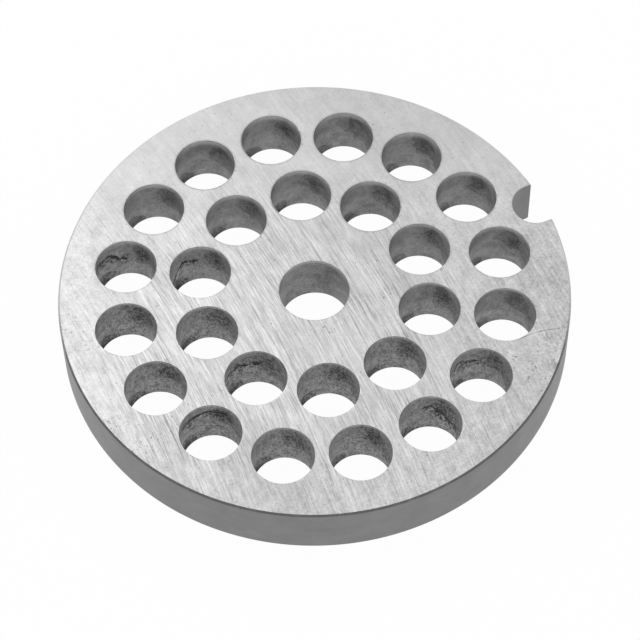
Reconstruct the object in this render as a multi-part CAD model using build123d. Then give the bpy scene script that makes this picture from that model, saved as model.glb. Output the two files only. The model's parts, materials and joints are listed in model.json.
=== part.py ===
"""A perforated plate for a meat grinder of the 82 mm size, turned and drilled from one steel disc.

The plate lies flat. Its origin is on its axis at the lower face, +Z runs up along the axis
towards the upper face, and +X runs out through the middle of the locating notch.
"""
from build123d import *
import os

# Driving dimensions, in millimetres.
plate_diameter = 82.0
plate_thickness = 9.8
rim_chamfer = 0.3          # broken edge between the rim and each face

pilot_bore_diameter = 11.2  # runs on the pin at the end of the feed screw

grinding_hole_diameter = 9.8
lower_edge_chamfer = 0.5    # on the lower edge of the bore and of every grinding hole
outer_circle_diameter = 61.4
outer_circle_holes = 16
inner_circle_diameter = 37.4
inner_circle_holes = 10

notch_width = 7.5           # straight-sided slot with a full round bottom
notch_depth = 5.1           # from the rim to the bottom of the slot

# A cutter passes this far beyond the surface that it leaves through.
cutter_overrun = 1.0


def turned_blank():
    """The disc with the edge of each ground face broken by a small chamfer."""
    radius = plate_diameter / 2
    face_radius = radius - rim_chamfer
    with BuildPart() as blank:
        with BuildSketch(Plane.XZ):
            with BuildLine():
                Polyline(
                    (0, 0),
                    (face_radius, 0),
                    (radius, rim_chamfer),
                    (radius, plate_thickness - rim_chamfer),
                    (face_radius, plate_thickness),
                    (0, plate_thickness),
                    close=True,
                )
            make_face()
        revolve(axis=Axis.Z)
    return blank.part


def drill(diameter):
    """A round cutter on the Z axis that goes through both faces and chamfers the lower edge."""
    radius = diameter / 2
    aligned = (Align.CENTER, Align.CENTER, Align.MIN)
    start = Location((0, 0, -cutter_overrun))
    body = Cylinder(radius, plate_thickness + 2 * cutter_overrun, align=aligned)
    height = lower_edge_chamfer + cutter_overrun
    return start * (body + Cone(radius + height, radius, height, align=aligned))


def drilled_circle(circle_diameter, hole_count, first_angle):
    """Evenly spaced grinding holes on one bolt circle, the first at first_angle degrees."""
    places = PolarLocations(circle_diameter / 2, hole_count, start_angle=first_angle)
    return [place * drill(grinding_hole_diameter) for place in places]


def notch_cutter():
    """An end mill's path: a straight slot in from the rim that ends in a half circle."""
    half_width = notch_width / 2
    slot_end = plate_diameter / 2 - notch_depth + half_width
    slot_mouth = plate_diameter / 2 + cutter_overrun
    with BuildPart() as cutter:
        with BuildSketch(Plane.XY.offset(-cutter_overrun)):
            with BuildLine():
                Line((slot_mouth, -half_width), (slot_end, -half_width))
                ThreePointArc((slot_end, -half_width), (slot_end - half_width, 0), (slot_end, half_width))
                Line((slot_end, half_width), (slot_mouth, half_width))
                Line((slot_mouth, half_width), (slot_mouth, -half_width))
            make_face()
        extrude(amount=plate_thickness + 2 * cutter_overrun)
    return cutter.part


def grinder_plate():
    """The whole plate: the notch lies midway between two outer holes and in line with an inner one."""
    outer_pitch_angle = 360 / outer_circle_holes
    cutters = [drill(pilot_bore_diameter), notch_cutter()]
    cutters += drilled_circle(outer_circle_diameter, outer_circle_holes, outer_pitch_angle / 2)
    cutters += drilled_circle(inner_circle_diameter, inner_circle_holes, 0)
    return turned_blank() - cutters


plate = grinder_plate()
plate.label = "grinder_plate"

os.makedirs("parts", exist_ok=True)
export_step(plate, "parts/grinder_plate.step")
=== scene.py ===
"""A meat grinder plate: one disc of steel, turned at the rim, drilled, slotted and ground on both faces.

The plate is a single skin of points and faces, finer than the CAD solid that it stands for, with the
worn edges, rough drilled walls and ground faces that the finished steel has. Some light and shade is
painted into the steel's colour: patches on the walls of the holes and the bore, a ramp across their upper
edges, and two broad places on the upper face. Lengths are in metres, in the plate's own frame: the origin
is on its axis at the lower face and +X runs through the notch.
"""

import json
import math
import zlib

import bmesh
import bpy
import numpy as np
from mathutils import Matrix, Vector, geometry, noise


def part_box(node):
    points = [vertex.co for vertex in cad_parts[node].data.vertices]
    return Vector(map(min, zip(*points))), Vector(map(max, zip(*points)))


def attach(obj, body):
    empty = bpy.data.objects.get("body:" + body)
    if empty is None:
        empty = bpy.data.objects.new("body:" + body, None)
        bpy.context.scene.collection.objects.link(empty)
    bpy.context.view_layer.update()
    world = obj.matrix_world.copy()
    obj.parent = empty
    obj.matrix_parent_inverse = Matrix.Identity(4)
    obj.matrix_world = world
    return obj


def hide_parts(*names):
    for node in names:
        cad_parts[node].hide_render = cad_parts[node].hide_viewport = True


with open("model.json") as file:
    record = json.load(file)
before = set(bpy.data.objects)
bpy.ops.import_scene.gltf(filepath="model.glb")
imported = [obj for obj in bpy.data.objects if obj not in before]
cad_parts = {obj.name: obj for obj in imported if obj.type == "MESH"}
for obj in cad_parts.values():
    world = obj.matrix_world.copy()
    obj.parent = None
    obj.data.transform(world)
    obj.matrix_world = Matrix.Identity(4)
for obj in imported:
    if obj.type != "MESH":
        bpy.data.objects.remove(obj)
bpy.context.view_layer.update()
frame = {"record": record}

MM = 0.001
FULL_TURN = 2 * math.pi

# The plate's sizes. The rim, the bore, the notch's depth and the thickness come from the frame.
mounts = {mount["name"]: mount for mount in frame["record"]["mounts"]}
PLATE_RADIUS = mounts["rim"]["dims"]["r_mm"] * MM
BORE_RADIUS = mounts["centre_bore"]["dims"]["r_mm"] * MM
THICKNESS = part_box("grinder_plate")[1][2]
NOTCH_BOTTOM = mounts["locating_notch"]["pos_m"][0]
NOTCH_HALF_WIDTH = 3.75 * MM
HOLE_RADIUS = 4.9 * MM
OUTER_CIRCLE_RADIUS = 30.7 * MM
OUTER_HOLES = 16
INNER_CIRCLE_RADIUS = 18.7 * MM
INNER_HOLES = 10
RIM_CHAMFER = 0.3 * MM
LOWER_CHAMFER = 0.5 * MM    # on the lower edges of the bore and the holes
EDGE_BREAK = 0.12 * MM      # what deburring takes off the edges of the notch
EDGE_WIDTH = 0.06 * MM      # how far out the upper edges of the holes are rounded,
EDGE_DEPTH = 0.18 * MM      # and how far down

# How far down from its upper edge a hole's wall gets painted light, in the holes with the least and with
# the most of it, and how far out from the edge of a hole with the most of it the face gets painted shade.
PAINTED_LIGHT_DEPTHS = (0.40 * MM, 1.30 * MM)
PAINTED_SHADE_WIDTH = 0.35 * MM

# How finely the skin is divided.
HOLE_POINTS = 112
HOLE_TURNS = np.linspace(0, FULL_TURN, HOLE_POINTS, endpoint=False)
WALL_ROWS = 20
EDGE_TURNS = np.radians([18, 36, 54, 72])   # the rings of a rounded edge, between the wall and the face
RIM_ARC_POINTS = 480
RIM_ROWS = 6
NOTCH_ARC_POINTS = 40
NOTCH_SIDE_POINTS = 6
SHARP_TURN = math.radians(30)   # faces that meet at a larger angle have a sharp edge between them

FLOOR_HALF_WIDTH = 3.0
FLOOR_GAP = 0.02 * MM           # keeps the floor apart from the lower face

# The wheel that ground the faces ran on arcs round this point, in millimetres.
GRINDING_CENTRE_X = -265.0
GRINDING_CENTRE_Y = -10.0

# The headings towards which the faces and edges are worn smoother and the holes' upper edges get more
# painted light and shade, and towards which the drilled walls are worn smoother.
SMOOTHER_SIDE = 66.2
SMOOTHER_WALLS = 48.0

CAMERA_AZIMUTH = -23.754
CAMERA_ELEVATION = 57.498
CAMERA_ROLL = 1.241
CAMERA_DISTANCE = 442.55 * MM
CAMERA_TARGET = Vector((0.8194, -0.1283, 0.6)) * MM
CAMERA_LENS = 152.9
CAMERA_SENSOR = 36.0
CAMERA_NEAREST = 10 * MM


# ---------------------------------------------------------------------------------------------------------
# Shader maths


class Socket:
    """An output of a node. Arithmetic on sockets adds Math nodes."""

    def __init__(self, graph, output):
        self.graph = graph
        self.output = output

    def maths(self, operation, *values):
        return self.graph.node("ShaderNodeMath", {"operation": operation}, dict(enumerate(values)))

    def __add__(self, other):
        return self.maths("ADD", self, other)

    def __sub__(self, other):
        return self.maths("SUBTRACT", self, other)

    def __rsub__(self, other):
        return self.maths("SUBTRACT", other, self)

    def __mul__(self, other):
        return self.maths("MULTIPLY", self, other)

    def __truediv__(self, other):
        return self.maths("DIVIDE", self, other)

    def __pow__(self, other):
        return self.maths("POWER", self, other)

    __radd__ = __add__
    __rmul__ = __mul__

    def largest(self, other):
        return self.maths("MAXIMUM", self, other)

    def size(self):
        return self.maths("ABSOLUTE", self)

    def step(self, low, high):
        """0 up to low and 1 from high on, with a smooth rise between. It falls if low is above high."""
        ends = {"Value": self, "From Min": low, "From Max": high}
        if low > high:
            ends = {"Value": 0 - self, "From Min": -low, "From Max": -high}
        return self.graph.node("ShaderNodeMapRange", {"interpolation_type": "SMOOTHSTEP"}, ends)


class Graph:
    """The node tree of a material or a world."""

    def __init__(self, tree):
        self.tree = tree
        self.tree.nodes.clear()

    def node(self, kind, settings=None, values=None, output=0):
        """Adds a node: its settings are set first, then the values or links of its inputs."""
        node = self.tree.nodes.new(kind)
        for name, setting in (settings or {}).items():
            setattr(node, name, setting)
        for key, value in (values or {}).items():
            if isinstance(value, Socket):
                self.tree.links.new(value.output, node.inputs[key])
            else:
                node.inputs[key].default_value = value
        return Socket(self, node.outputs[output]) if node.outputs else None

    def position(self):
        """Where a point is on the plate, as three numbers in millimetres."""
        place = self.node("ShaderNodeTexCoord", output="Object")
        return [self.node("ShaderNodeSeparateXYZ", {}, {0: place}, axis) / MM for axis in "XYZ"]

    def noise(self, x, y, z, detail=2.0, roughness=0.5):
        """Fractal noise from 0 to 1, with about one feature to each unit of x, y and z."""
        where = self.node("ShaderNodeCombineXYZ", {}, {"X": x, "Y": y, "Z": z})
        look = {"Vector": where, "Scale": 1.0, "Detail": detail, "Roughness": roughness}
        return self.node("ShaderNodeTexNoise", {"noise_dimensions": "3D"}, look)

    def attribute(self, name):
        return self.node("ShaderNodeAttribute", {"attribute_name": name}, {}, "Fac")

    def between(self, share, first, second):
        """The grey that lies this share of the way from the first grey level to the second."""
        ends = {0: share, 6: grey(first), 7: grey(second)}      # the factor and the two colours
        return self.node("ShaderNodeMix", {"data_type": "RGBA"}, ends, 2)

    def bump(self, height, depth):
        """A normal from a height of 0 to 1 that stands for this depth in metres."""
        return self.node("ShaderNodeBump", {}, {"Height": height, "Distance": depth, "Strength": 1.0})

    def steel(self, colour, roughness, normal):
        """Bare steel as the material's surface."""
        look = {"Base Color": colour, "Metallic": 1.0, "Roughness": roughness, "Normal": normal}
        surface = self.node("ShaderNodeBsdfPrincipled", {}, look)
        self.node("ShaderNodeOutputMaterial", {}, {"Surface": surface})


def grey(level):
    return (level, level, level, 1.0)


def new_material(name):
    material = bpy.data.materials.new(name)
    material.use_nodes = True
    return material, Graph(material.node_tree)


# ---------------------------------------------------------------------------------------------------------
# The finishes of the steel

# Where the upper face is pitted: the place in millimetres, and how far the pits spread from it.
PITTED_PLACES = [
    ((-38.1, 10.6), 3.5),
    ((-36.1, 5.5), 3.0),
    ((-38.8, -9.4), 4.0),
    ((-36.4, -14.8), 3.5),
    ((-1.6, -7.2), 3.5),
    ((9.7, -6.2), 2.5),
    ((23.0, -25.2), 2.0),
    ((26.4, -29.8), 5.0),
]

# Painted shade on the upper face or, with a darkness below 0, painted light: the place in millimetres, how
# far that spreads from it, and how dark the paint is.
FACE_PAINTED_SHADING = [
    ((-30.0, -29.0), 30.0, 0.10),
    ((36.0, 7.0), 17.0, -0.08),
]

CHAFED_PLACE = (30.4, -26.4)    # where knocks have left the upper face coarse, beside the rim

# Dark scratches on the upper face, as arcs: the arc's centre and radius, the middle of the scratch, half
# its length and half its width, in millimetres.
SCRATCHES = [
    ((27.0, -35.2), 13.1, (28.9, -22.3), 3.9, 0.06),
    ((23.0, -10.0), 9.4, (22.8, -19.4), 1.4, 0.08),
    ((45.0, 16.0), 23.0, (35.8, -5.1), 0.9, 0.035),
    ((45.0, 11.0), 22.8, (36.3, -10.1), 1.2, 0.03),
    ((20.0, -29.0), 5.4, (23.3, -24.7), 0.5, 0.10),
]


def distance(x, y, place):
    away_x = x - place[0]
    away_y = y - place[1]
    return (away_x * away_x + away_y * away_y) ** 0.5


def grinding_lines(x, y):
    """Distance across and along the grinding arcs, in millimetres."""
    across = distance(x, y, (GRINDING_CENTRE_X, GRINDING_CENTRE_Y))
    along = y.maths("ARCTAN2", y - GRINDING_CENTRE_Y, x - GRINDING_CENTRE_X) * abs(GRINDING_CENTRE_X)
    return across, along


def towards(heading, x, y):
    """Distance from the plate's axis towards a heading, which is in degrees round from +X."""
    turn = math.radians(heading)
    return x * math.cos(turn) + y * math.sin(turn)


def pits(graph, x, y, side):
    """Small dark pits, thinly strewn all over and thick at the pitted places."""
    crowding = graph.noise(x * 0.12, y * 0.12, side + 80.0, 1.0).step(0.45, 0.7) * 0.5
    crowding = crowding * towards(SMOOTHER_SIDE, x, y).step(12.0, -2.0)
    for place, reach in PITTED_PLACES:
        crowding = crowding + distance(x, y, place).step(reach, reach * 0.2) * 1.3
    small = graph.noise(x * 2.7, y * 2.7, side + 90.0, 1.0)
    return (small + crowding * 0.07).step(0.73, 0.80)


def scratches(x, y):
    dark = None
    for centre, radius, middle, half_length, half_width in SCRATCHES:
        line = (distance(x, y, centre) - radius).size().step(half_width * 1.6, half_width * 0.4)
        line = line * distance(x, y, middle).step(half_length, half_length * 0.7)
        dark = line if dark is None else dark.largest(line)
    return dark


def ground_face():
    """A face from the surface grinder: fine curved lines in patches, on a mottled grey with a few pits, with
    painted shade and painted light in two broad places and painted shade beside the holes' upper edges.
    """
    material, graph = new_material("ground_face")
    x, y, z = graph.position()
    side = z * 7.0
    across, along = grinding_lines(x, y)

    fine = graph.noise(across * 4.0, along * 0.16, side, 2.0, 0.6) - 0.5
    hair = graph.noise(across * 8.5, along * 0.45, side + 10.0, 1.0, 0.5) - 0.5
    broad = graph.noise(across * 0.9, along * 0.09, side + 20.0, 2.0, 0.5) - 0.5
    drift = graph.noise(across * 0.55, along * 0.22, side + 25.0, 1.0, 0.5) - 0.5
    deep = graph.noise(across * 4.8, along * 0.07, side + 40.0, 0.0, 0.5)
    grain = graph.noise(x * 2.6, y * 2.6, side + 60.0, 2.0, 0.6) - 0.5
    mottle = graph.noise(x * 0.55, y * 0.55, side + 70.0, 2.0, 0.6) - 0.5
    clouds = graph.noise(x * 0.13, y * 0.13, side + 75.0, 1.0, 0.5) - 0.5

    patches = graph.noise(across * 0.14, along * 0.05, side + 30.0, 1.0, 0.5).step(0.36, 0.62)
    middle = distance(x, y, (-8.0, -5.0)).step(38.0, 20.0)
    rough_side = 0.35 + 0.65 * towards(SMOOTHER_SIDE, x, y).step(30.0, 4.0)
    marked = rough_side * (0.34 + 0.28 * patches + 0.50 * middle)
    chafed = distance(x, y, CHAFED_PLACE).step(6.0, 2.0)
    wear_and_painted_edge = rough_side * (1.45 - 0.80 * middle) + chafed * 0.9
    # Random cloudy tone, with painted shade and painted light at the listed places on the upper face.
    clouds_and_painted_shading = clouds * -0.14
    for place, reach, painted_darkness in FACE_PAINTED_SHADING:
        clouds_and_painted_shading = clouds_and_painted_shading + distance(x, y, place).step(reach, reach * 0.1) * painted_darkness * z.step(1.0, 8.0)

    lines = fine * 0.60 + hair * 0.62 + broad * 0.24
    lines = lines + deep.step(0.34, 0.24) * 0.12 - deep.step(0.66, 0.76) * 0.16
    tone = 0.5 + lines * marked + (grain * 0.40 + mottle * 0.30) * wear_and_painted_edge + drift * 0.14 - clouds_and_painted_shading
    # Painted shade on the face beside the holes' upper edges.
    tone = tone - graph.attribute("rubbed") * 0.24
    dark = pits(graph, x, y, side).largest(scratches(x, y) * z.step(1.0, 8.0)) * 0.42
    colour = graph.between(tone - dark, 0.22, 1.00)
    roughness = 0.38 + 0.2 * grain
    height = fine + hair + grain * 0.5 - dark * 2.0
    graph.steel(colour, roughness, graph.bump(height, 0.004 * MM))
    return material


def turned_rim():
    """The rim as the lathe left it, dull and lightly stained."""
    material, graph = new_material("turned_rim")
    x, y, z = graph.position()
    feed_marks = graph.noise(x * 0.05, y * 0.05, z * 6.0, 2.0, 0.5)
    stains = graph.noise(x * 0.22, y * 0.22, z * 0.30, 3.0, 0.6)
    grain = graph.noise(x * 2.2, y * 2.2, z * 2.2, 2.0, 0.6)
    tone = 0.5 + (stains - 0.5) * 0.9 + (grain - 0.5) * 0.35 + (feed_marks - 0.5) * 0.25
    colour = graph.between(tone, 0.18, 0.29)
    graph.steel(colour, 0.45 + 0.1 * grain, graph.bump(feed_marks + grain * 0.5, 0.006 * MM))
    return material


def broken_edge():
    """The narrow chamfer between rim and face, dark on the rough side and rubbed brighter on the other."""
    material, graph = new_material("broken_edge")
    x, y, z = graph.position()
    tone = graph.noise(x * 0.8, y * 0.8, z * 0.8, 2.0, 0.6)
    rough_side = towards(SMOOTHER_SIDE, x, y).step(2.0, -16.0)
    colour = graph.between(rough_side + (tone - 0.5) * 0.5, 0.62, 0.16)
    graph.steel(colour, 0.4 + 0.1 * tone, graph.bump(tone, 0.003 * MM))
    return material


def hole_edge():
    """The edge of a hole, rubbed down to bright metal."""
    material, graph = new_material("hole_edge")
    x, y, z = graph.position()
    tone = graph.noise(x * 0.9, y * 0.9, z * 0.9, 2.0, 0.6)
    colour = graph.between(tone, 0.42, 0.66)
    graph.steel(colour, 0.4 + 0.1 * tone, graph.bump(tone, 0.003 * MM))
    return material


def bored_wall():
    """The wall of the centre bore: smooth, with light stains, patches of painted shade and painted light, and
    painted light towards its upper edge.
    """
    material, graph = new_material("bored_wall")
    x, y, z = graph.position()
    # Patches of painted shade, and of painted light where the value is below 0.
    stain = graph.attribute("stain")
    clouds = graph.noise(x * 0.35, y * 0.35, z * 0.55, 3.0, 0.6) - 0.5
    grain = graph.noise(x * 2.4, y * 2.4, z * 3.2, 2.0, 0.6) - 0.5
    specks = graph.noise(x * 3.0, y * 3.0, z * 3.0, 1.0, 0.5).step(0.62, 0.72)
    tone = 0.56 + clouds * 0.90 + grain * 1.10 - stain * 0.22 - specks * 0.20
    # Painted light towards the bore's upper edge.
    colour = graph.between(tone * 0.45 + graph.attribute("rubbed") * 0.6, 0.05, 0.72)
    graph.steel(colour, 0.45 + 0.2 * grain, graph.bump(grain + clouds * 0.5, 0.02 * MM))
    return material


def drilled_wall():
    """The wall of a drilled hole: dull, mottled and pitted, with patches of painted shade and painted light
    at the same places in every hole, painted light towards its upper edge, and dark where the drill tore the
    steel.
    """
    material, graph = new_material("drilled_wall")
    x, y, z = graph.position()
    # Patches of painted shade, and of painted light where the value is below 0.
    stain = graph.attribute("stain")
    torn = graph.attribute("torn")
    from_crack = graph.attribute("from_crack")

    drill_marks = graph.noise(x * 0.25, y * 0.25, z * 2.6, 2.0, 0.6) - 0.5
    clouds = graph.noise(x * 0.35, y * 0.35, z * 0.45, 2.0, 0.5) - 0.5
    blotches = graph.noise(x * 1.1, y * 1.1, z * 0.8, 2.0, 0.6) - 0.5
    grain = graph.noise(x * 3.2, y * 3.2, z * 2.0, 2.0, 0.6) - 0.5
    specks = graph.noise(x * 3.4, y * 3.4, z * 2.2, 1.0, 0.5)

    wander = (graph.noise(x * 0.7, y * 0.7, z * 0.7, 3.0, 0.7) - 0.5) * 2.6
    gape = graph.noise(x * 0.6 + 9.0, y * 0.6, z * 0.6, 1.0, 0.5).step(0.36, 0.60)
    above = from_crack + wander
    crack = above.size().step(0.62, 0.20) * (0.60 + 0.40 * gape)
    branch = (above + 1.1 + wander).size().step(0.30, 0.08) * (1 - gape)
    crack = crack.largest(branch * 0.7) * torn.step(0.10, 0.45)
    lip = above.step(-1.1, -0.6) * above.step(-0.2, -0.5) * torn
    ragged = (blotches * 1.8 + grain * 1.4) * torn

    # An irregular core of painted shade inside the darkest painted patches.
    painted_shade_core = (stain + clouds * 1.2 + blotches * 0.5).step(0.45, 0.58)
    speckled = specks.step(0.59, 0.68) * (0.45 + stain * 0.4 + torn * 0.5)
    rough_side = 0.45 + 0.70 * towards(SMOOTHER_WALLS, x, y).step(18.0, -14.0)
    spots = (blotches * 0.90 + grain * 1.60 + drill_marks * 0.40 - speckled * 0.40) * rough_side
    tone = 0.70 + clouds * (1.10 - 0.6 * rough_side) + spots - stain * 0.16 - painted_shade_core * 0.30
    tone = tone + ragged * (1 - crack) + lip * 0.18 - crack * 0.9
    # Painted light towards the hole's upper edge.
    colour = graph.between(tone * 0.47 + graph.attribute("rubbed") * 0.62, 0.02, 0.70)
    height = grain * 0.7 + blotches * (0.3 + torn) + drill_marks * 0.3 - crack - speckled * 0.5
    roughness = 0.5 + 0.2 * grain + stain.step(0.8, 2.4) * 0.4
    graph.steel(colour, roughness, graph.bump(height, 0.05 * MM))
    return material


# ---------------------------------------------------------------------------------------------------------
# The plate

# Holes whose wall the drill tore: how badly, and the route of the crack as angles round the hole's own
# axis from +X, in degrees, with depths below the upper face, in millimetres.
TORN_WALLS = {
    "outer 6": (0.7, [(140, 2.3), (122, 2.8), (109, 2.9), (92, 3.7), (84, 4.8)]),
    "outer 9": (0.6, [(121, 2.3), (101, 2.5), (88, 2.2), (62, 1.8), (45, 1.8)]),
    "outer 12": (0.8, [(64, 3.3), (50, 3.9), (33, 5.4), (22, 5.7)]),
    "outer 13": (1.0, [(145, 6.0), (126, 4.7), (114, 2.6), (104, 2.5), (93, 3.4), (82, 3.6)]),
    "inner 4": (0.8, [(133, 5.6), (120, 4.4), (110, 3.7), (102, 3.1), (86, 3.9)]),
    "inner 6": (1.0, [(160, 4.6), (143, 3.3), (120, 3.2), (103, 2.8), (92, 3.5), (77, 3.6)]),
}

# Painted shade at the same places on every wall, and painted light where the darkness is below 0: the angle
# round the hole and the depth of the middle, half the size each way, and how dark the middle is.
WALL_PAINTED_SHADING = [
    (34, 3.1, 56, 5.4, 0.95),
    (60, 8.6, 70, 2.6, 0.30),
    (150, 9.2, 68, 4.1, 2.7),
    (-30, 7.5, 55, 6.0, 1.3),
    (125, 0.2, 75, 2.6, -1.1),
    (0, 0.2, 35, 2.2, -1.3),
]

TEAR_RUN_OUT = 25           # degrees beyond the ends of a crack over which the torn steel runs out
TEAR_ABOVE_CRACK = 1.2      # and millimetres above the crack,
TEAR_BELOW_CRACK = 3.0      # and below it
STEP_FADE = 0.9             # millimetres over which the step below a crack fades

# How far back the wall is worn at most: all over, where it is torn, and in the step below a crack.
WAVY_DEPTH = 0.03 * MM
RAGGED_DEPTH = 0.10 * MM
STEP_DEPTH = 0.12 * MM

# Per point: how torn, how far from the crack, the painted wall patches, and the painted edge ramp.
WEAR_AND_PAINTED_SHADING = ("torn", "from_crack", "stain", "rubbed")    # what the finishes read at each point
FAR_FROM_CRACK = 9.0
SOUND = (0.0, FAR_FROM_CRACK, 0.0, 0.0)

FACE, RIM, CHAMFER, EDGE, WALL, BORE = range(6)


class Skin:
    """The rings of points, and the faces between them, that make up the surface of the plate."""

    def __init__(self):
        self.points = []
        self.wear_and_painted_shading = []
        self.faces = []
        self.finishes = []
        self.smooth = []

    def ring(self, points, wear_and_painted_shading=None):
        first = len(self.points)
        self.points.extend(points)
        self.wear_and_painted_shading.extend(wear_and_painted_shading or [SOUND] * len(points))
        return list(range(first, first + len(points)))

    def band(self, lower, upper, finish):
        """Joins two rings with a band of four-cornered faces."""
        for here in range(len(lower)):
            there = (here + 1) % len(lower)
            self.faces.append((lower[here], lower[there], upper[there], upper[here]))
            self.finishes.append(finish)
            self.smooth.append(True)

    def wall(self, rings, finishes):
        for lower, upper, finish in zip(rings, rings[1:], finishes):
            self.band(lower, upper, finish)

    def flat(self, outline, holes, is_open):
        """Fills a ground face inside the outline and outside the holes."""
        loops = [outline, *holes]
        order = [index for loop in loops for index in loop]
        places = [Vector(self.points[index][:2]) / MM for index in order]
        edges = []
        for loop in loops:
            first = len(edges)
            edges += [(first + k, first + (k + 1) % len(loop)) for k in range(len(loop))]
        places, _, triangles, sources, *_ = geometry.delaunay_2d_cdt(places, edges, [], 0, 1e-7)
        for triangle in triangles:
            middle = sum((places[corner] for corner in triangle), Vector((0, 0))) / 3
            if not is_open(middle * MM):
                self.faces.append(tuple(order[sources[corner][0]] for corner in triangle))
                self.finishes.append(FACE)
                self.smooth.append(False)

    def mesh(self, name, finishes):
        """The skin as a mesh that faces outwards, with sharp edges between faces that meet at an angle."""
        mesh = bpy.data.meshes.new(name)
        mesh.from_pydata(self.points, [], self.faces)
        mesh.polygons.foreach_set("material_index", self.finishes)
        mesh.polygons.foreach_set("use_smooth", self.smooth)
        for part, label in enumerate(WEAR_AND_PAINTED_SHADING):
            values = [wear_and_painted_shading[part] for wear_and_painted_shading in self.wear_and_painted_shading]
            mesh.attributes.new(label, "FLOAT", "POINT").data.foreach_set("value", values)
        for finish in finishes:
            mesh.materials.append(finish)
        work = bmesh.new()
        work.from_mesh(mesh)
        bmesh.ops.recalc_face_normals(work, faces=work.faces)
        for edge in work.edges:
            edge.smooth = edge.calc_face_angle(math.pi) < SHARP_TURN
        work.to_mesh(mesh)
        work.free()
        return mesh


def hole_centres():
    """The centre of each grinding hole by name: both circles are numbered from 0 at +X on."""
    centres = {}
    for k in range(OUTER_HOLES):
        turn = (k + 0.5) * FULL_TURN / OUTER_HOLES
        centres[f"outer {k}"] = OUTER_CIRCLE_RADIUS * Vector((math.cos(turn), math.sin(turn)))
    for k in range(INNER_HOLES):
        turn = k * FULL_TURN / INNER_HOLES
        centres[f"inner {k}"] = INNER_CIRCLE_RADIUS * Vector((math.cos(turn), math.sin(turn)))
    return centres


def rim_outline(rim_inset, notch_inset):
    """The plate's outline as flat points: the rim, then the notch. The insets move it into the steel."""
    radius = PLATE_RADIUS - rim_inset
    half_width = NOTCH_HALF_WIDTH + notch_inset
    round_centre = NOTCH_BOTTOM + NOTCH_HALF_WIDTH
    corner_turn = math.asin(half_width / radius)
    turns = np.linspace(corner_turn, FULL_TURN - corner_turn, RIM_ARC_POINTS)
    outline = [Vector((radius * math.cos(turn), radius * math.sin(turn))) for turn in turns]
    side = np.linspace(radius * math.cos(corner_turn), round_centre, NOTCH_SIDE_POINTS)[1:-1]
    outline += [Vector((x, -half_width)) for x in side]
    for turn in np.linspace(FULL_TURN * 0.75, FULL_TURN * 0.25, NOTCH_ARC_POINTS):
        outline.append(Vector((round_centre + half_width * math.cos(turn), half_width * math.sin(turn))))
    outline += [Vector((x, half_width)) for x in reversed(side)]
    return outline


def rim_rings(skin):
    """The chamfers, the rim and the notch, from the lower face to the upper one."""
    face_outline = rim_outline(RIM_CHAMFER, EDGE_BREAK)
    wall_outline = rim_outline(0, 0)

    def level(outline, share):
        """A ring this share of the way up the wall, between the rim's chamfers and the notch's edges."""
        rim_height = RIM_CHAMFER + share * (THICKNESS - 2 * RIM_CHAMFER)
        notch_height = EDGE_BREAK + share * (THICKNESS - 2 * EDGE_BREAK)
        heights = [rim_height] * RIM_ARC_POINTS + [notch_height] * (len(outline) - RIM_ARC_POINTS)
        return skin.ring([(point.x, point.y, height) for point, height in zip(outline, heights)])

    lower_face = skin.ring([(point.x, point.y, 0) for point in face_outline])
    wall = [level(wall_outline, share) for share in np.linspace(0, 1, RIM_ROWS + 1)]
    upper_face = skin.ring([(point.x, point.y, THICKNESS) for point in face_outline])
    return [lower_face, *wall, upper_face]


def crack_wear(name, angle, depth):
    """How torn a wall is at an angle in degrees and a depth in millimetres, and how far above the crack."""
    if name not in TORN_WALLS:
        return 0.0, FAR_FROM_CRACK
    strength, route = TORN_WALLS[name]
    angles, depths = zip(*sorted(route))
    crack_depth = np.interp(angle, angles, depths)
    outside = max(angles[0] - angle, angle - angles[-1], 0) / TEAR_RUN_OUT
    above = crack_depth - depth
    spread = above / TEAR_ABOVE_CRACK if above > 0 else -above / TEAR_BELOW_CRACK
    return strength * max(0.0, 1 - outside) * max(0.0, 1 - spread), above


def wall_wear_and_painted_shading(name, turn, height, painted_light_depth):
    """How far the wall is worn back at a turn and a height, and the wear and the painted light and shade that
    its finish reads.
    """
    angle = math.degrees(turn)
    depth = (THICKNESS - height) / MM
    torn, above = crack_wear(name, angle, depth)
    # Patches of painted shade, and of painted light where the strength is below 0, at the same places round
    # every hole.
    stain = 0.0
    for middle, middle_depth, half_turn, half_depth, strength in WALL_PAINTED_SHADING:
        round_about = (angle - middle + 180) % 360 - 180
        off = math.hypot(round_about / half_turn, (depth - middle_depth) / half_depth)
        stain += strength * max(0.0, 1 - off)
    seed = zlib.crc32(name.encode()) % 100
    place = Vector((5 * math.cos(turn), 5 * math.sin(turn), seed + depth))
    waviness = 0.5 + 0.5 * noise.noise(place * 0.7)
    roughness = 0.5 + 0.5 * noise.fractal(place * 1.6, 1.0, 2.0, 3)
    step = torn * math.exp(above / STEP_FADE) if above < 0 else 0.0
    worn_back = WAVY_DEPTH * waviness + RAGGED_DEPTH * torn * roughness + STEP_DEPTH * step
    # Painted light towards the upper edge, fading down the wall and stronger on each hole's +X side.
    rubbed = max(0.0, 1 - depth * MM / painted_light_depth) * (0.75 + 0.35 * math.cos(turn))
    return worn_back, (torn, above, stain, rubbed)


def painted_edge_strength(centre):
    """How much painted light and shade a hole's upper edge gets, from 0 to 1: more towards the plate's
    smoother side.
    """
    place = towards(SMOOTHER_SIDE, centre.x, centre.y)
    return float(np.interp(place, [-15 * MM, 25 * MM], [0, 1]))


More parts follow.
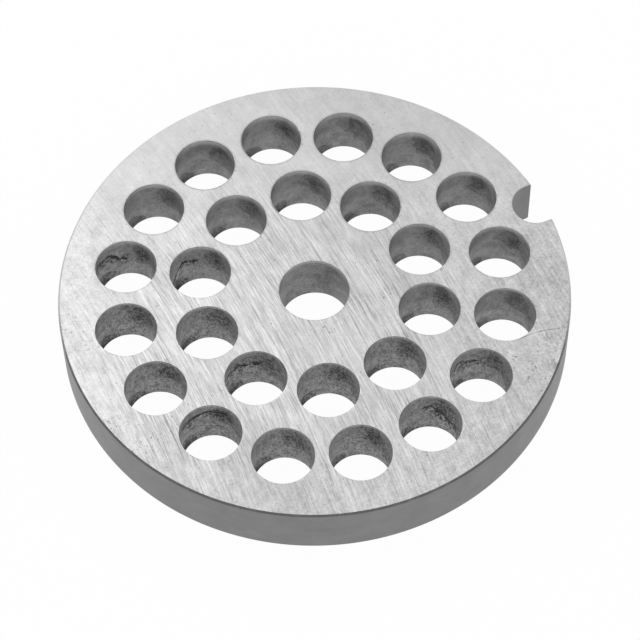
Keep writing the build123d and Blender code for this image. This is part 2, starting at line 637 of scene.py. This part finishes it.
def wall_profile():
    """A wall from its lower chamfer to its rounded edge: how far out, how high, and its share of the wear."""
    heights = np.linspace(LOWER_CHAMFER, THICKNESS - EDGE_DEPTH, WALL_ROWS)
    profile = [(LOWER_CHAMFER, 0.0, 0.0)] + [(0.0, height, 1.0) for height in heights]
    for edge_turn in EDGE_TURNS:
        out = EDGE_WIDTH * (1 - math.cos(edge_turn))
        down = EDGE_DEPTH * (1 - math.sin(edge_turn))
        profile.append((out, THICKNESS - down, math.cos(edge_turn)))
    return profile


def around(centre, radius, turn, height):
    """The point at this turn and height on a circle round the centre of a hole."""
    return centre.x + radius * math.cos(turn), centre.y + radius * math.sin(turn), height


def hole_rings(skin, name, centre, radius):
    """The wall of a hole, from its lower chamfer over its rounded upper edge to the face round it, which gets
    painted shade beside the edge.
    """
    wear_and_painted_edge = painted_edge_strength(centre)
    painted_light_depth = PAINTED_LIGHT_DEPTHS[0] + wear_and_painted_edge * (PAINTED_LIGHT_DEPTHS[1] - PAINTED_LIGHT_DEPTHS[0])
    rings = []
    for outset, height, share in wall_profile():
        points, wear_and_painted_shading = [], []
        for turn in HOLE_TURNS:
            worn_back, finish = wall_wear_and_painted_shading(name, turn, height, painted_light_depth)
            points.append(around(centre, radius + outset + worn_back * share, turn, height))
            wear_and_painted_shading.append(finish)
        rings.append(skin.ring(points, wear_and_painted_shading))
    # Painted shade on the face round the edge, fading out.
    for out, painted_face_shade in [(0.0, wear_and_painted_edge), (PAINTED_SHADE_WIDTH * 0.5, wear_and_painted_edge * 0.45), (PAINTED_SHADE_WIDTH, 0.0)]:
        points = [around(centre, radius + EDGE_WIDTH + out, turn, THICKNESS) for turn in HOLE_TURNS]
        rings.append(skin.ring(points, [(0.0, FAR_FROM_CRACK, 0.0, painted_face_shade)] * HOLE_POINTS))
    return rings


def grinder_plate():
    """The whole plate as one object."""
    skin = Skin()
    rim = rim_rings(skin)
    skin.wall(rim, [CHAMFER] + [RIM] * RIM_ROWS + [CHAMFER])

    openings = [("bore", Vector((0, 0)), BORE_RADIUS)]
    openings += [(name, centre, HOLE_RADIUS) for name, centre in hole_centres().items()]
    walls = [hole_rings(skin, *opening) for opening in openings]
    for (name, _, _), rings in zip(openings, walls):
        finish = BORE if name == "bore" else WALL
        skin.wall(rings, [EDGE] + [finish] * (WALL_ROWS + 1) + [EDGE] * 3 + [FACE] * 2)

    def is_open(point, margin):
        """Whether a flat point is in the notch, or in an opening or within this margin of one."""
        past_round = point.x - NOTCH_BOTTOM - NOTCH_HALF_WIDTH
        across_notch = abs(point.y) if past_round > 0 else math.hypot(past_round, point.y)
        in_opening = any((point - centre).length < radius + margin for _, centre, radius in openings)
        return in_opening or across_notch < NOTCH_HALF_WIDTH + EDGE_BREAK

    upper_margin = EDGE_WIDTH + PAINTED_SHADE_WIDTH
    skin.flat(rim[0], [rings[0] for rings in walls], lambda point: is_open(point, LOWER_CHAMFER))
    skin.flat(rim[-1], [rings[-1] for rings in walls], lambda point: is_open(point, upper_margin))
    finishes = [ground_face(), turned_rim(), broken_edge(), hole_edge(), drilled_wall(), bored_wall()]
    plate = bpy.data.objects.new("ground_plate", skin.mesh("ground_plate", finishes))
    bpy.context.scene.collection.objects.link(plate)
    return plate


# ---------------------------------------------------------------------------------------------------------
# The stage


def pale_floor():
    """A white floor that takes a faint shadow from the plate, and is clear to a look from beneath."""
    mesh = bpy.data.meshes.new("floor")
    flat_corners = [(-1, -1), (1, -1), (1, 1), (-1, 1)]
    corners = [(x * FLOOR_HALF_WIDTH, y * FLOOR_HALF_WIDTH, -FLOOR_GAP) for x, y in flat_corners]
    mesh.from_pydata(corners, [], [(0, 1, 2, 3)])
    floor = bpy.data.objects.new("floor", mesh)
    bpy.context.scene.collection.objects.link(floor)
    material, graph = new_material("pale_floor")
    seen = graph.node("ShaderNodeLightPath", output="Is Camera Ray")
    mirrored = graph.node("ShaderNodeLightPath", output="Is Glossy Ray")
    through = graph.node("ShaderNodeLightPath", output="Is Transmission Ray")
    paint = graph.node("ShaderNodeBsdfDiffuse", {}, {"Color": grey(0.9)})
    glow = graph.node("ShaderNodeEmission", {}, {"Color": grey(1.0), "Strength": 1.0})
    share = seen.largest(mirrored).largest(through) * 0.975
    upper_side = graph.node("ShaderNodeMixShader", {}, {0: share, 1: paint, 2: glow})
    beneath = graph.node("ShaderNodeNewGeometry", output="Backfacing")
    clear = graph.node("ShaderNodeBsdfTransparent")
    surface = graph.node("ShaderNodeMixShader", {}, {0: beneath, 1: upper_side, 2: clear})
    graph.node("ShaderNodeOutputMaterial", {}, {"Surface": surface})
    mesh.materials.append(material)
    return floor


def studio_world():
    """A pale room: a bright ceiling over dimmer walls, and plain white behind the plate."""
    world = bpy.data.worlds.new("studio")
    world.use_nodes = True
    bpy.context.scene.world = world
    graph = Graph(world.node_tree)
    direction = graph.node("ShaderNodeTexCoord", output="Generated")
    height = graph.node("ShaderNodeSeparateXYZ", {}, {0: direction}, "Z")
    room = graph.between(height.step(0.0, 0.5), 0.62, 0.79)
    seen = graph.node("ShaderNodeLightPath", output="Is Camera Ray")
    colour = graph.node("ShaderNodeMix", {"data_type": "RGBA"}, {0: seen, 6: room, 7: grey(1.0)}, 2)
    background = graph.node("ShaderNodeBackground", {}, {"Color": colour, "Strength": 1.0})
    graph.node("ShaderNodeOutputWorld", {}, {"Surface": background})


def soft_lamp(name, azimuth, elevation, distance, width, height, watts):
    """A lamp that faces the plate from this elevation and this azimuth, anticlockwise from the -Y side."""
    lamp = bpy.data.lights.new(name, "AREA")
    lamp.shape = "RECTANGLE"
    lamp.size = width
    lamp.size_y = height
    lamp.energy = watts
    body = bpy.data.objects.new(name, lamp)
    bpy.context.scene.collection.objects.link(body)
    turn, rise = math.radians(azimuth), math.radians(elevation)
    back = Vector((math.sin(turn) * math.cos(rise), -math.cos(turn) * math.cos(rise), math.sin(rise)))
    body.location = back * distance
    body.rotation_euler = (-back).to_track_quat("-Z", "Y").to_euler()


def camera():
    """Looks down on the plate, from the front left of the notch."""
    lens = bpy.data.cameras.new("camera")
    lens.lens = CAMERA_LENS
    lens.sensor_width = CAMERA_SENSOR
    lens.clip_start = CAMERA_NEAREST
    body = bpy.data.objects.new("camera", lens)
    bpy.context.scene.collection.objects.link(body)
    turn, rise, roll = (math.radians(a) for a in (CAMERA_AZIMUTH, CAMERA_ELEVATION, CAMERA_ROLL))
    forward = Vector((-math.sin(turn) * math.cos(rise), math.cos(turn) * math.cos(rise), -math.sin(rise)))
    level_right = Vector((math.cos(turn), math.sin(turn), 0))
    level_down = forward.cross(level_right)
    right = math.cos(roll) * level_right + math.sin(roll) * level_down
    down = math.cos(roll) * level_down - math.sin(roll) * level_right
    axes = Matrix((right, -down, -forward)).transposed().to_4x4()
    body.matrix_world = Matrix.Translation(CAMERA_TARGET - forward * CAMERA_DISTANCE) @ axes
    bpy.context.scene.camera = body


bpy.context.scene.view_settings.view_transform = "Standard"
camera()
pale_floor()
studio_world()
soft_lamp("window", azimuth=197, elevation=45, distance=0.43, width=0.30, height=0.45, watts=0.38)

plate = grinder_plate()
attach(plate, "root")
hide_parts("grinder_plate")
